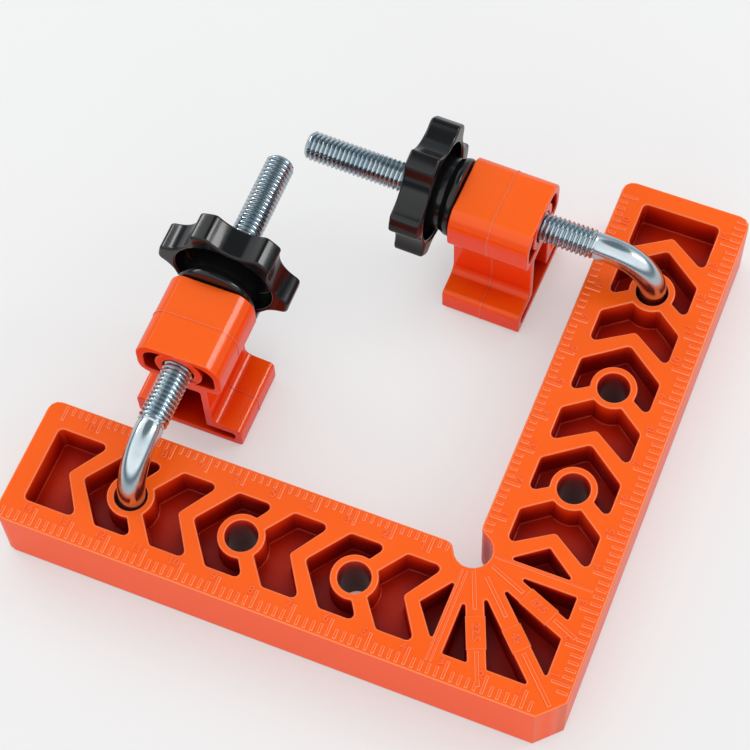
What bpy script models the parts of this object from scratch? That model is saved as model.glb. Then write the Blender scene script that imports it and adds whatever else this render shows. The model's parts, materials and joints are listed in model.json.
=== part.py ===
# Right-angle clamp: a moulded square with two hook clamps that press boards against its inner faces.
# Metres, +Z up. The origin is at the middle of the 150 mm square that the two legs frame, on the table.
import math

import bmesh
import bpy

# Square body
LEG_LENGTH = 0.150
LEG_WIDTH = 0.035
BODY_HEIGHT = 0.020
OUTER_CHAMFER = 0.006
LEG_END_RADIUS = 0.003
RELIEF_RADIUS = 0.0049
RELIEF_FILLET = 0.0025

# Pockets, ribs and holes of the body
OUTER_BAND = 0.007
END_WALL = 0.0055
WEB_THICKNESS = 0.002
END_TO_FIRST_RIB = 0.0151
CORNER_TO_LAST_RIB = 0.0093
RIB_COUNT = 7
RIB_THICKNESS = 0.0044
RIB_SWEEP = 0.0068
RIB_ARM_SPREAD = 0.001
CORNER_WALL = 0.001
FAN_RIB_THICKNESS = 0.0047
FAN_SIDE_RIB_HALF = 0.0027
FAN_SECTORS = 4
POCKET_CORNER = 0.0012
FAN_CORNER = 0.0004
HOLE_RADIUS = 0.0042
RING_WALL = 0.0019
HOLE_COUNT = 3

# Hook bolt, M8
SHANK_RADIUS = 0.00355
THREAD_RADIUS = 0.00395
THREAD_END_CHAMFER = 0.0009
BEND_RADIUS = 0.0125
ROD_HEIGHT = 0.0322
LEFT_THREAD_START = 0.0140
RIGHT_THREAD_START = 0.0156
THREAD_RUNOUT = 0.0006
HOOK_FOOT_CLEARANCE = 0.0015
CLAMP_HOLE = 0
LEFT_SWIVEL = 0
RIGHT_SWIVEL = math.radians(-1.5)

# Clamp block
BOARD_GAP = 0.0135
BLOCK_LENGTH = 0.0222
BOX_WIDTH = 0.0234
BOX_HEIGHT = 0.014
BOX_FLAT = 0.016
BOX_FLAT_CORNER = 0.0005
BOX_SHOULDER_SLOPE = math.radians(25)
BOX_TOP_CORNER = 0.0062
BOX_LOWER_CORNER = 0.0039
NECK_WIDTH = 0.014
FOOT_WIDTH = 0.030
FOOT_HEIGHT = 0.0072
FOOT_SLOPE = 0.0008
FOOT_TOP_CORNER = 0.0016
FOOT_LOWER_CORNER = 0.0008
NECK_FILLET = 0.002
BLOCK_WALL = 0.002
BLOCK_WEB = 0.002
HOLLOW_TOP_CORNER = 0.0046
HOLLOW_CORNER = 0.0007
NECK_BRIDGE = 0.002
BOSS_RADIUS = 0.0065

# Star knob
KNOB_LOBES = 6
KNOB_TIP_RADIUS = 0.0183
KNOB_VALLEY_RADIUS = 0.0144
KNOB_SCALLOP_RADIUS = 0.0105
KNOB_LOBE_CORNER = 0.0018
KNOB_RIM = 0.0082
KNOB_STAND_OFF = 0.0057
KNOB_BACK_PLATE = 0.0025
KNOB_BACK_BOSS_RADIUS = 0.0095
KNOB_BACK_BOSS_HEIGHT = 0.001
HUB_RADIUS = 0.0098
HUB_FLANGE = 0.0008
HUB_FLANGE_LENGTH = 0.0018
DISH_RADIUS = 0.0134
LEFT_KNOB_TURN = math.radians(48)
RIGHT_KNOB_TURN = math.radians(43.5)

# Knob nut, M8
NUT_ACROSS_FLATS = 0.013
NUT_THICKNESS = 0.0065
NUT_RECESS = 0.0005

# Clearances
TOUCH_GAP = 0.0003
HOLE_SIDE_GAP = 0.0003
ROD_END_CLEARANCE = 0.00085
BORE_CLEARANCE = 0.00035
NUT_BORE_CLEARANCE = 0.0002
NUT_POCKET_CLEARANCE = 0.0002
CUT_PAST = 0.001

# Fineness
CORNER_STEPS = 3
BOX_CORNER_STEPS = 8
BEND_STEPS = 9
ROUND_SIDES = 32
ROD_RESOLUTION = 10

# Places that follow from the sizes above
HALF_LEG = LEG_LENGTH / 2
MID_BAND = LEG_WIDTH / 2
POCKET_DEPTH = (BODY_HEIGHT - WEB_THICKNESS) / 2
POCKET_HALF = MID_BAND - OUTER_BAND
FIRST_RIB = LEG_LENGTH - END_TO_FIRST_RIB
LAST_RIB = LEG_WIDTH + CORNER_TO_LAST_RIB
RIB_PITCH = (FIRST_RIB - LAST_RIB) / (RIB_COUNT - 1)
FIRST_HOLE = FIRST_RIB - RIB_PITCH
HOLE_PITCH = 2 * RIB_PITCH
HOOK_HOLE = FIRST_HOLE - CLAMP_HOLE * HOLE_PITCH
HOOK_SHIFT = HOLE_RADIUS - SHANK_RADIUS - HOLE_SIDE_GAP
ROD_REACH = FIRST_HOLE - MID_BAND - THREAD_RADIUS - ROD_END_CLEARANCE
JAW_FRONT = LEG_WIDTH - MID_BAND + BOARD_GAP
JAW_BACK = JAW_FRONT + BLOCK_LENGTH
HUB_FACE = JAW_BACK + TOUCH_GAP
RIM_FRONT = JAW_BACK + KNOB_STAND_OFF
RIM_BACK = RIM_FRONT + KNOB_RIM
KNOB_BACK = RIM_BACK + KNOB_BACK_BOSS_HEIGHT
NUT_BACK = KNOB_BACK - NUT_RECESS
NUT_FRONT = NUT_BACK - NUT_THICKNESS
BLOCK_BORE = THREAD_RADIUS + BORE_CLEARANCE

# Finishes: colour, roughness and metallic
ORANGE_PLASTIC = ((0.93, 0.105, 0.007, 1), 0.42, 0)
BLACK_PLASTIC = ((0.012, 0.012, 0.013, 1), 0.2, 0)
ZINC_PLATE = ((0.66, 0.70, 0.73, 1), 0.22, 1)
NUT_STEEL = ((0.55, 0.56, 0.57, 1), 0.35, 1)


def clear_scene():
    for item in list(bpy.data.objects):
        bpy.data.objects.remove(item, do_unlink=True)


def new_collection(name):
    collection = bpy.data.collections.new(name)
    bpy.context.scene.collection.children.link(collection)
    return collection


def plain_material(name, look):
    material = bpy.data.materials.new(name)
    material.use_nodes = True
    shader = material.node_tree.nodes["Principled BSDF"]
    for socket, value in zip(("Base Color", "Roughness", "Metallic"), look):
        shader.inputs[socket].default_value = value
    return material


def add_object(name, mesh, place, parent, collection):
    item = bpy.data.objects.new(name, mesh)
    item.location = place
    item.parent = parent
    collection.objects.link(item)
    return item


# Outlines

def unit(vector):
    length = math.hypot(*vector)
    return vector[0] / length, vector[1] / length


def arc(centre, radius, start, end, steps):
    # Points along a circle from one angle to another, both ends included.
    angles = [start + (end - start) * step / steps for step in range(steps + 1)]
    return [(centre[0] + radius * math.cos(a), centre[1] + radius * math.sin(a)) for a in angles]


def turn_between(start, end):
    # The shorter way round from one direction to another.
    return (end - start + math.pi) % (2 * math.pi) - math.pi


def rounded(corners, steps=CORNER_STEPS):
    # A closed outline from (x, y, radius) corners, each replaced by its arc.
    outline = []
    for index, (x, y, radius) in enumerate(corners):
        before = corners[index - 1]
        after = corners[(index + 1) % len(corners)]
        back = unit((before[0] - x, before[1] - y))
        ahead = unit((after[0] - x, after[1] - y))
        half = math.acos(back[0] * ahead[0] + back[1] * ahead[1]) / 2
        if radius == 0 or half > math.radians(89):
            outline.append((x, y))
            continue
        middle = unit((back[0] + ahead[0], back[1] + ahead[1]))
        reach = radius / math.sin(half)
        centre = (x + middle[0] * reach, y + middle[1] * reach)
        run = radius / math.tan(half)
        start = math.atan2(y + back[1] * run - centre[1], x + back[0] * run - centre[0])
        end = math.atan2(y + ahead[1] * run - centre[1], x + ahead[0] * run - centre[0])
        outline += arc(centre, radius, start, start + turn_between(start, end), steps)
    return outline


def circle(centre, radius, sides=ROUND_SIDES):
    return arc(centre, radius, 0, 2 * math.pi, sides)[:-1]


# Solids

def flat_solid(name, outlines, depth, place, parent, collection, turn=(0, 0, 0)):
    # A flat outline, holes included, as thick as depth and centred on place.
    curve = bpy.data.curves.new(name, "CURVE")
    curve.dimensions = "2D"
    curve.fill_mode = "BOTH"
    curve.extrude = depth / 2
    for outline in outlines:
        spline = curve.splines.new("POLY")
        spline.points.add(len(outline) - 1)
        for point, (x, y) in zip(spline.points, outline):
            point.co = (x, y, 0, 1)
        spline.use_cyclic_u = True
    return curve_solid(name, curve, place, parent, collection, turn)


def curve_solid(name, curve, place, parent, collection, turn=(0, 0, 0)):
    # A curve's surface as a mesh with its caps welded on.
    guide = bpy.data.objects.new(name + "_outline", curve)
    collection.objects.link(guide)
    graph = bpy.context.evaluated_depsgraph_get()
    mesh = bpy.data.meshes.new_from_object(guide.evaluated_get(graph))
    mesh.name = name
    bpy.data.objects.remove(guide)
    shape = bmesh.new()
    shape.from_mesh(mesh)
    bmesh.ops.remove_doubles(shape, verts=shape.verts, dist=1e-6)
    bmesh.ops.recalc_face_normals(shape, faces=shape.faces)
    shape.to_mesh(mesh)
    shape.free()
    item = add_object(name, mesh, place, parent, collection)
    item.rotation_euler = turn
    return item


def round_bar(name, radius, depth, place, parent, collection, turn=(0, 0, 0), sides=ROUND_SIDES, spin=0.0):
    # A straight bar along its own Z, centred on place.
    mesh = bpy.data.meshes.new(name)
    shape = bmesh.new()
    bmesh.ops.create_cone(shape, cap_ends=True, segments=sides, radius1=radius, radius2=radius, depth=depth)
    for vert in shape.verts:
        x, y = vert.co.x, vert.co.y
        vert.co.x = x * math.cos(spin) - y * math.sin(spin)
        vert.co.y = x * math.sin(spin) + y * math.cos(spin)
    shape.to_mesh(mesh)
    shape.free()
    item = add_object(name, mesh, place, parent, collection)
    item.rotation_euler = turn
    return item


def turned_ring(name, profile, place, parent, collection, turn):
    # A closed (radius, height) profile turned about its own Z.
    mesh = bpy.data.meshes.new(name)
    edges = [(index, (index + 1) % len(profile)) for index in range(len(profile))]
    mesh.from_pydata([(radius, 0, height) for radius, height in profile], edges, [])
    item = add_object(name, mesh, place, parent, collection)
    item.rotation_euler = turn
    screw = item.modifiers.new("Turn", "SCREW")
    screw.steps = ROUND_SIDES
    screw.render_steps = ROUND_SIDES
    screw.use_normal_calculate = False
    return item


def cut(item, cutter, operation="DIFFERENCE"):
    boolean = item.modifiers.new(operation.title(), "BOOLEAN")
    boolean.operation = operation
    boolean.object = cutter
    hide_guide(cutter)


def hide_guide(item):
    item.hide_render = True
    item.display_type = "WIRE"


def finish(item, look):
    item.data.materials.append(plain_material(item.name + "_finish", look))


# The square body. A place on a leg is (along, across): along from the outer corner, across from the outer face.

def left_leg(along, across):
    return HALF_LEG - along, across - HALF_LEG


def right_leg(along, across):
    return HALF_LEG - across, along - HALF_LEG


def body_outline():
    inner = HALF_LEG - LEG_WIDTH
    fillet_run = math.sqrt((RELIEF_RADIUS + RELIEF_FILLET) ** 2 - RELIEF_FILLET ** 2)
    fillet_turn = math.atan2(RELIEF_FILLET, fillet_run)
    corner = (inner, -inner)
    low = (inner - fillet_run, -inner - RELIEF_FILLET)
    high = (inner + RELIEF_FILLET, -inner + fillet_run)
    relief = arc(low, RELIEF_FILLET, math.pi / 2, fillet_turn, CORNER_STEPS)
    relief += arc(corner, RELIEF_RADIUS, math.pi + fillet_turn, 2.5 * math.pi - fillet_turn, 4 * CORNER_STEPS)[1:-1]
    relief += arc(high, RELIEF_FILLET, 1.5 * math.pi - fillet_turn, math.pi, CORNER_STEPS)
    legs = rounded([(*corner, 0),
                    (*right_leg(LEG_LENGTH, LEG_WIDTH), LEG_END_RADIUS),
                    (*right_leg(LEG_LENGTH, 0), LEG_END_RADIUS),
                    (*right_leg(OUTER_CHAMFER, 0), 0),
                    (*left_leg(OUTER_CHAMFER, 0), 0),
                    (*left_leg(LEG_LENGTH, 0), LEG_END_RADIUS),
                    (*left_leg(LEG_LENGTH, LEG_WIDTH), LEG_END_RADIUS)])
    return relief + legs[1:]


def chevron_pocket(leg, upper_rib, lower_rib):
    # The pocket between two swept ribs, whose points look along the leg.
    top = upper_rib - RIB_THICKNESS / 2
    bottom = lower_rib + RIB_THICKNESS / 2
    low, middle, high = OUTER_BAND, MID_BAND, LEG_WIDTH - OUTER_BAND
    inner_sweep = RIB_SWEEP + RIB_ARM_SPREAD
    places = [(top - inner_sweep, low), (top, middle), (top - inner_sweep, high),
              (bottom - RIB_SWEEP, high), (bottom, middle), (bottom - RIB_SWEEP, low)]
    return rounded([(*leg(*place), POCKET_CORNER) for place in places])


def end_pocket(leg):
    bottom = FIRST_RIB + RIB_THICKNESS / 2
    top = LEG_LENGTH - END_WALL
    low, middle, high = OUTER_BAND, MID_BAND, LEG_WIDTH - OUTER_BAND
    places = [(top, low), (top, high), (bottom - RIB_SWEEP, high), (bottom, middle), (bottom - RIB_SWEEP, low)]
    return rounded([(*leg(*place), POCKET_CORNER) for place in places])


def corner_pocket(leg):
    # The triangle beside the fan.
    top = LAST_RIB - RIB_THICKNESS / 2
    bottom = LEG_WIDTH + CORNER_WALL
    half = POCKET_HALF * (top - bottom) / (RIB_SWEEP + RIB_ARM_SPREAD)
    places = [(bottom, MID_BAND - half), (top, MID_BAND), (bottom, MID_BAND + half)]
    return rounded([(*leg(*place), FAN_CORNER) for place in places])


def meeting_point(first, second):
    # Where two lines meet. Each is (x, y) on the line and its direction.
    (x1, y1, dx1, dy1), (x2, y2, dx2, dy2) = first, second
    run = ((x2 - x1) * dy2 - (y2 - y1) * dx2) / (dx1 * dy2 - dy1 * dx2)
    return x1 + dx1 * run, y1 + dy1 * run


def fan_pocket(sector):
    # The pocket between two ribs that run out from the inner corner. Angles start at the left leg's side.
    corner_x, corner_y = HALF_LEG - LEG_WIDTH, LEG_WIDTH - HALF_LEG
    sides = []
    for side, rib in ((1, sector), (-1, sector + 1)):
        angle = math.pi / 2 * rib / FAN_SECTORS
        half = FAN_SIDE_RIB_HALF if rib in (0, FAN_SECTORS) else FAN_RIB_THICKNESS / 2
        along = (math.sin(angle), -math.cos(angle))
        sides.append((corner_x + side * half * math.cos(angle), corner_y + side * half * math.sin(angle), *along))
    band = HALF_LEG - OUTER_BAND
    wall = (0, -band, 1, 0) if sector < FAN_SECTORS / 2 else (band, 0, 0, 1)
    points = [meeting_point(*sides), meeting_point(sides[0], wall), meeting_point(sides[1], wall)]
    return rounded([(*point, FAN_CORNER) for point in points])


def make_square(parts, guides):
    holes = []
    rings = []
    pockets = []
    for leg in (left_leg, right_leg):
        for index in range(HOLE_COUNT):
            centre = leg(FIRST_HOLE - index * HOLE_PITCH, MID_BAND)
            holes.append(circle(centre, HOLE_RADIUS))
            rings.append(circle(centre, HOLE_RADIUS + RING_WALL))
        pockets.append(end_pocket(leg))
        for index in range(RIB_COUNT - 1):
            upper = FIRST_RIB - index * RIB_PITCH
            pockets.append(chevron_pocket(leg, upper, upper - RIB_PITCH))
        pockets.append(corner_pocket(leg))
    pockets += [fan_pocket(sector) for sector in range(FAN_SECTORS)]
    middle = (0, 0, BODY_HEIGHT / 2)
    body = flat_solid("square_body", [body_outline()] + holes, BODY_HEIGHT, middle, None, parts)
    posts = flat_solid("ring_posts", rings, 2 * BODY_HEIGHT, middle, None, guides)
    hide_guide(posts)
    cut_depth = POCKET_DEPTH + CUT_PAST
    cut_heights = {"top": BODY_HEIGHT + CUT_PAST - cut_depth / 2, "bottom": cut_depth / 2 - CUT_PAST}
    for side, height in cut_heights.items():
        cutter = flat_solid("pockets_" + side, pockets, cut_depth, (0, 0, height), None, guides)
        cut(cutter, posts)
        cut(body, cutter)
    finish(body, ORANGE_PLASTIC)


# One clamp, in a frame whose origin is on the table on the hook's axis: +X across the rod, +Y along it, +Z up.

ALONG_ROD = (math.radians(-90), 0, 0)
FACING_ROD = (math.radians(90), 0, 0)


def make_hook(side, frame, thread_start, parts):
    curve = bpy.data.curves.new(side + "_hook_bolt", "CURVE")
    curve.dimensions = "3D"
    curve.bevel_depth = SHANK_RADIUS
    curve.bevel_resolution = ROD_RESOLUTION
    curve.use_fill_caps = True
    bend_centre = (BEND_RADIUS, ROD_HEIGHT - BEND_RADIUS)
    bend = arc(bend_centre, BEND_RADIUS, math.pi, math.pi / 2, BEND_STEPS)
    swell = THREAD_RADIUS / SHANK_RADIUS
    tip = (THREAD_RADIUS - THREAD_END_CHAMFER) / SHANK_RADIUS
    foot_tip = (SHANK_RADIUS - THREAD_END_CHAMFER) / SHANK_RADIUS
    points = [(0, HOOK_FOOT_CLEARANCE, foot_tip), (0, HOOK_FOOT_CLEARANCE + THREAD_END_CHAMFER, 1)]
    points += [(along, height, 1) for along, height in bend]
    points += [(thread_start, ROD_HEIGHT, 1), (thread_start + THREAD_RUNOUT, ROD_HEIGHT, swell)]
    points += [(ROD_REACH - THREAD_END_CHAMFER, ROD_HEIGHT, swell), (ROD_REACH, ROD_HEIGHT, tip)]
    spline = curve.splines.new("POLY")
    spline.points.add(len(points) - 1)
    for point, (along, height, width) in zip(spline.points, points):
        point.co = (0, along, height, 1)
        point.radius = width
    hook = curve_solid(side + "_hook_bolt", curve, (0, 0, 0), frame, parts)
    finish(hook, ZINC_PLATE)


# The block's outlines: x across the rod, y up from the rod's axis.

def both_sides(half, steps=CORNER_STEPS):
    # A half outline on the right, from top to bottom, with its mirror image.
    return rounded(half + [(-x, y, radius) for x, y, radius in reversed(half)], steps)


def box_outline():
    # A flat top, shoulders that slope and curve down to the sides, and rounded lower corners.
    top = BOX_HEIGHT / 2
    box = BOX_WIDTH / 2
    flat = BOX_FLAT / 2
    shoulder = top - (box - flat) * math.tan(BOX_SHOULDER_SLOPE)
    return both_sides([(flat, top, BOX_FLAT_CORNER), (box, shoulder, BOX_TOP_CORNER),
                       (box, -top, BOX_LOWER_CORNER)], BOX_CORNER_STEPS)


def stem_outline():
    # The neck and the foot. The neck's top is buried in the box's lower wall.
    neck = NECK_WIDTH / 2
    foot = FOOT_WIDTH / 2
    floor = -ROD_HEIGHT
    shoulder = floor + FOOT_HEIGHT
    return both_sides([(neck, (BLOCK_WALL - BOX_HEIGHT) / 2, 0), (neck, shoulder + FOOT_SLOPE, NECK_FILLET),
                       (foot, shoulder, FOOT_TOP_CORNER), (foot, floor, FOOT_LOWER_CORNER)])


def block_pockets():
    # The hollows of the block's end faces: the box around the boss, and the neck and the foot.
    top = BOX_HEIGHT / 2 - BLOCK_WALL
    box = BOX_WIDTH / 2 - BLOCK_WALL
    neck = NECK_WIDTH / 2 - BLOCK_WALL
    foot = FOOT_WIDTH / 2 - BLOCK_WALL
    neck_top = -BOX_HEIGHT / 2 - NECK_BRIDGE
    floor = -ROD_HEIGHT + BLOCK_WALL
    shoulder = -ROD_HEIGHT + FOOT_HEIGHT - BLOCK_WALL
    upper = both_sides([(box, top, HOLLOW_TOP_CORNER), (box, -top, BOX_LOWER_CORNER - BLOCK_WALL)],
                       BOX_CORNER_STEPS)
    lower = both_sides([(neck, neck_top, HOLLOW_CORNER), (neck, shoulder, 0),
                        (foot, shoulder, HOLLOW_CORNER), (foot, floor, HOLLOW_CORNER)])
    return [upper, lower]


def make_block(side, frame, parts, guides):
    middle = (JAW_FRONT + JAW_BACK) / 2
    centre = (0, middle, ROD_HEIGHT)
    block = flat_solid(side + "_clamp_block", [box_outline()], BLOCK_LENGTH, centre, frame, parts, FACING_ROD)
    stem = flat_solid(side + "_block_stem", [stem_outline()], BLOCK_LENGTH, centre, frame, guides, FACING_ROD)
    cut(block, stem, "UNION")
    boss = round_bar(side + "_boss", BOSS_RADIUS, 2 * BLOCK_LENGTH, centre, frame, guides, ALONG_ROD)
    hide_guide(boss)
    depth = (BLOCK_LENGTH - BLOCK_WEB) / 2 + CUT_PAST
    cut_places = {"front": JAW_FRONT - CUT_PAST + depth / 2, "back": JAW_BACK + CUT_PAST - depth / 2}
    for end, place in cut_places.items():
        cutter = flat_solid(side + "_block_pockets_" + end, block_pockets(), depth, (0, place, ROD_HEIGHT),
                            frame, guides, FACING_ROD)
        cut(cutter, boss)
        cut(block, cutter)
    bore = round_bar(side + "_block_bore", BLOCK_BORE, BLOCK_LENGTH + 2 * CUT_PAST, centre, frame, guides, ALONG_ROD)
    cut(block, bore)
    finish(block, ORANGE_PLASTIC)


def star_outline():
    # Lobes left by scallops around a circle, with rounded corners.
    scallop_reach = KNOB_VALLEY_RADIUS + KNOB_SCALLOP_RADIUS
    corner_reach = KNOB_TIP_RADIUS - KNOB_LOBE_CORNER
    corner_to_scallop = KNOB_SCALLOP_RADIUS + KNOB_LOBE_CORNER
    cosine = (scallop_reach ** 2 + corner_reach ** 2 - corner_to_scallop ** 2) / (2 * scallop_reach * corner_reach)
    spread = math.acos(cosine)
    # Angle at the scallop's centre between the knob's axis and the corner's centre.
    lean = math.asin(corner_reach * math.sin(spread) / corner_to_scallop)
    outline = []
    step = 2 * math.pi / KNOB_LOBES
    for index in range(KNOB_LOBES):
        valley = (index + 0.5) * step
        scallop = (scallop_reach * math.cos(valley), scallop_reach * math.sin(valley))
        inward = valley + math.pi
        outline += arc(scallop, KNOB_SCALLOP_RADIUS, inward + lean, inward - lean, 2 * CORNER_STEPS)
        for sign in (1, -1):
            # The lobe after this valley: its first corner, then its second.
            angle = valley + spread if sign > 0 else valley + step - spread
            centre = (corner_reach * math.cos(angle), corner_reach * math.sin(angle))
            if sign > 0:
                start = math.atan2(scallop[1] - centre[1], scallop[0] - centre[0])
                outline += arc(centre, KNOB_LOBE_CORNER, start, start + turn_between(start, angle), CORNER_STEPS)[1:]
            else:
                after = (scallop_reach * math.cos(valley + step), scallop_reach * math.sin(valley + step))
                end = math.atan2(after[1] - centre[1], after[0] - centre[0])
                outline += arc(centre, KNOB_LOBE_CORNER, angle, angle + turn_between(angle, end), CORNER_STEPS)[:-1]
    return outline


def make_knob(side, frame, turn, parts, guides):
    middle = (RIM_FRONT + RIM_BACK) / 2
    outline = [(x * math.cos(turn) - y * math.sin(turn), x * math.sin(turn) + y * math.cos(turn))
               for x, y in star_outline()]
    knob = flat_solid(side + "_star_knob", [outline], KNOB_RIM, (0, middle, ROD_HEIGHT), frame, parts, FACING_ROD)
    # A stepped core: the hub before it is turned, and the boss on the back.
    core_radius = (HUB_RADIUS + DISH_RADIUS) / 2
    core = round_bar(side + "_knob_core", core_radius, RIM_BACK - KNOB_BACK_PLATE / 2 - HUB_FACE,
                     (0, (HUB_FACE + RIM_BACK - KNOB_BACK_PLATE / 2) / 2, ROD_HEIGHT), frame, guides, ALONG_ROD)
    back = round_bar(side + "_knob_back", KNOB_BACK_BOSS_RADIUS, KNOB_BACK - middle,
                     (0, (KNOB_BACK + middle) / 2, ROD_HEIGHT), frame, guides, ALONG_ROD)
    cut(knob, core, "UNION")
    cut(knob, back, "UNION")
    # The dish, whose inner side is the hub's surface. Heights run from the hub's face towards the back.
    floor = RIM_BACK - KNOB_BACK_PLATE - HUB_FACE
    waist = HUB_FLANGE_LENGTH + HUB_FLANGE
    dish = turned_ring(side + "_knob_dish",
                       [(DISH_RADIUS, floor), (DISH_RADIUS, -CUT_PAST), (HUB_RADIUS + HUB_FLANGE, -CUT_PAST),
                        (HUB_RADIUS + HUB_FLANGE, HUB_FLANGE_LENGTH), (HUB_RADIUS, waist), (HUB_RADIUS, floor)],
                       (0, HUB_FACE, ROD_HEIGHT), frame, guides, ALONG_ROD)
    cut(knob, dish)
    bore = round_bar(side + "_knob_bore", BLOCK_BORE, KNOB_BACK - HUB_FACE + 2 * CUT_PAST,
                     (0, (KNOB_BACK + HUB_FACE) / 2, ROD_HEIGHT), frame, guides, ALONG_ROD)
    cut(knob, bore)
    pocket_front = NUT_FRONT - TOUCH_GAP
    pocket_radius = (NUT_ACROSS_FLATS / 2 + NUT_POCKET_CLEARANCE) / math.cos(math.pi / 6)
    pocket = round_bar(side + "_nut_pocket", pocket_radius, KNOB_BACK + CUT_PAST - pocket_front,
                       (0, (KNOB_BACK + CUT_PAST + pocket_front) / 2, ROD_HEIGHT), frame, guides, ALONG_ROD,
                       sides=6, spin=turn)
    cut(knob, pocket)
    finish(knob, BLACK_PLASTIC)


def make_nut(side, frame, turn, parts, guides):
    middle = (NUT_FRONT + NUT_BACK) / 2
    nut = round_bar(side + "_knob_nut", NUT_ACROSS_FLATS / 2 / math.cos(math.pi / 6), NUT_THICKNESS,
                    (0, middle, ROD_HEIGHT), frame, parts, ALONG_ROD, sides=6, spin=turn)
    bore = round_bar(side + "_nut_bore", THREAD_RADIUS + NUT_BORE_CLEARANCE, NUT_THICKNESS + 2 * CUT_PAST,
                     (0, middle, ROD_HEIGHT), frame, guides, ALONG_ROD)
    cut(nut, bore)
    finish(nut, NUT_STEEL)


def make_clamp(side, place, heading, thread_start, knob_turn, parts, guides):
    frame = bpy.data.objects.new(side + "_clamp_frame", None)
    frame.location = (*place, 0)
    frame.rotation_euler = (0, 0, heading)
    guides.objects.link(frame)
    make_hook(side, frame, thread_start, parts)
    make_block(side, frame, parts, guides)
    make_knob(side, frame, knob_turn, parts, guides)
    make_nut(side, frame, knob_turn, parts, guides)


def main():
    clear_scene()
    parts = new_collection("right_angle_clamp")
    guides = new_collection("guides")
    make_square(parts, guides)
    # Each hook stands off its hole's middle, towards the right.
    left_place = left_leg(HOOK_HOLE - HOOK_SHIFT, MID_BAND)
    right_place = right_leg(HOOK_HOLE + HOOK_SHIFT, MID_BAND)
    right_heading = math.pi / 2 + RIGHT_SWIVEL
    make_clamp("left", left_place, LEFT_SWIVEL, LEFT_THREAD_START, LEFT_KNOB_TURN, parts, guides)
    make_clamp("right", right_place, right_heading, RIGHT_THREAD_START, RIGHT_KNOB_TURN, parts, guides)


main()
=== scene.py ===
# A right-angle clamp: a moulded square, and two hook clamps with sliding blocks and star knobs.
# Metres, +Z up, in the same frame as the CAD parts.
import json
import math

import bmesh
import bpy
from mathutils import Matrix, Vector


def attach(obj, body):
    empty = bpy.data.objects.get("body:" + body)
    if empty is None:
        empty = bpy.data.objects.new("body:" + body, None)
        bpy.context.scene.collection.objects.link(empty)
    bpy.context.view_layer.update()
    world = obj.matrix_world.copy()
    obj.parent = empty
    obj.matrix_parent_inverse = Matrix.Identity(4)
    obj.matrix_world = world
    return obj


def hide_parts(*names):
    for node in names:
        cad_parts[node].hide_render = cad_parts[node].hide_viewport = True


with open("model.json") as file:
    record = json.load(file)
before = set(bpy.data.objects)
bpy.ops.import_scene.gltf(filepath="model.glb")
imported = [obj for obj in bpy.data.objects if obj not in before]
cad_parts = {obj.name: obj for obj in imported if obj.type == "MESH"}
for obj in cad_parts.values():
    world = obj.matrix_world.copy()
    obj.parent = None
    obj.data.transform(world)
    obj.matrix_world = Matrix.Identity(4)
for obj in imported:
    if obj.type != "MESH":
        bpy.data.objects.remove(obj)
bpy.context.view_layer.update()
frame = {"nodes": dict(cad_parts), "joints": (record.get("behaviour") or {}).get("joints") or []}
jointNamed = {joint["name"]: joint for joint in frame["joints"]}
print("the CAD parts are loaded")


# Camera
cameraSet = {
    "place": (0.11114161, -0.24316828, 0.52556473),
    "right": (0.92670804, 0.37477875, -0.02745364),
    "up": (-0.32071447, 0.82686615, 0.46198994),
    "back": (0.19584447, -0.41932487, 0.88646019),
    "lens": 106.9063,
    "sensor": 36,
    "nearest": 0.01,
}


def placeCamera(settings):
    bpy.ops.object.camera_add(location=settings["place"])
    camera = bpy.context.active_object
    turned = Matrix((settings["right"], settings["up"], settings["back"])).transposed()
    camera.rotation_euler = turned.to_euler()
    camera.name = "studioCamera"
    camera.data.lens = settings["lens"]
    camera.data.sensor_width = settings["sensor"]
    camera.data.clip_start = settings["nearest"]
    bpy.context.scene.camera = camera


placeCamera(cameraSet)
print("the camera is set")


# Hands-on helpers for the modelling
hair = 0.000002  # points that are closer than this are one


def pickUp(*pieces):
    bpy.ops.object.select_all(action="DESELECT")
    for piece in pieces:
        piece.select_set(True)
    bpy.context.view_layer.objects.active = pieces[0]


def openMesh(piece, mode="VERT", chosen="DESELECT"):
    pickUp(piece)
    bpy.ops.object.mode_set(mode="EDIT")
    bpy.ops.mesh.select_mode(type=mode)
    bpy.ops.mesh.select_all(action=chosen)


def closeMesh():
    bpy.ops.object.mode_set(mode="OBJECT")


def selectWhere(piece, kind, test):
    # Selects the vertices, edges or faces that pass the test.
    mesh = bmesh.from_edit_mesh(piece.data)
    for part in getattr(mesh, kind):
        part.select_set(test(part))
    mesh.select_flush_mode()
    bmesh.update_edit_mesh(piece.data)


def middleOf(edge):
    return (edge.verts[0].co + edge.verts[1].co) / 2


def shapeWith(piece, kind, **values):
    # Puts a modifier on a piece and applies it.
    modifier = piece.modifiers.new(kind.lower(), kind)
    for name, value in values.items():
        setattr(modifier, name, value)
    pickUp(piece)
    bpy.ops.object.modifier_apply(modifier=modifier.name)


def cutWith(piece, tool, operation="DIFFERENCE"):
    shapeWith(piece, "BOOLEAN", operation=operation, solver="EXACT", object=tool)
    bpy.data.objects.remove(tool)


def roundEdges(piece, width, segments, angle):
    shapeWith(piece, "BEVEL", width=width, segments=segments, limit_method="ANGLE",
              angle_limit=math.radians(angle), use_clamp_overlap=False)


def evenOut(piece):
    # Keeps the broad faces flat, so that only the small rounds between them turn the light.
    shapeWith(piece, "WEIGHTED_NORMAL", keep_sharp=True)


def smoothOff(piece, angle, even=True):
    pickUp(piece)
    bpy.ops.object.shade_smooth_by_angle(angle=math.radians(angle))
    if even:
        evenOut(piece)


def joinUp(name, pieces):
    pickUp(*pieces)
    if len(pieces) > 1:
        bpy.ops.object.join()
    whole = bpy.context.active_object
    whole.name = name
    whole.data.name = name
    return whole


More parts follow.
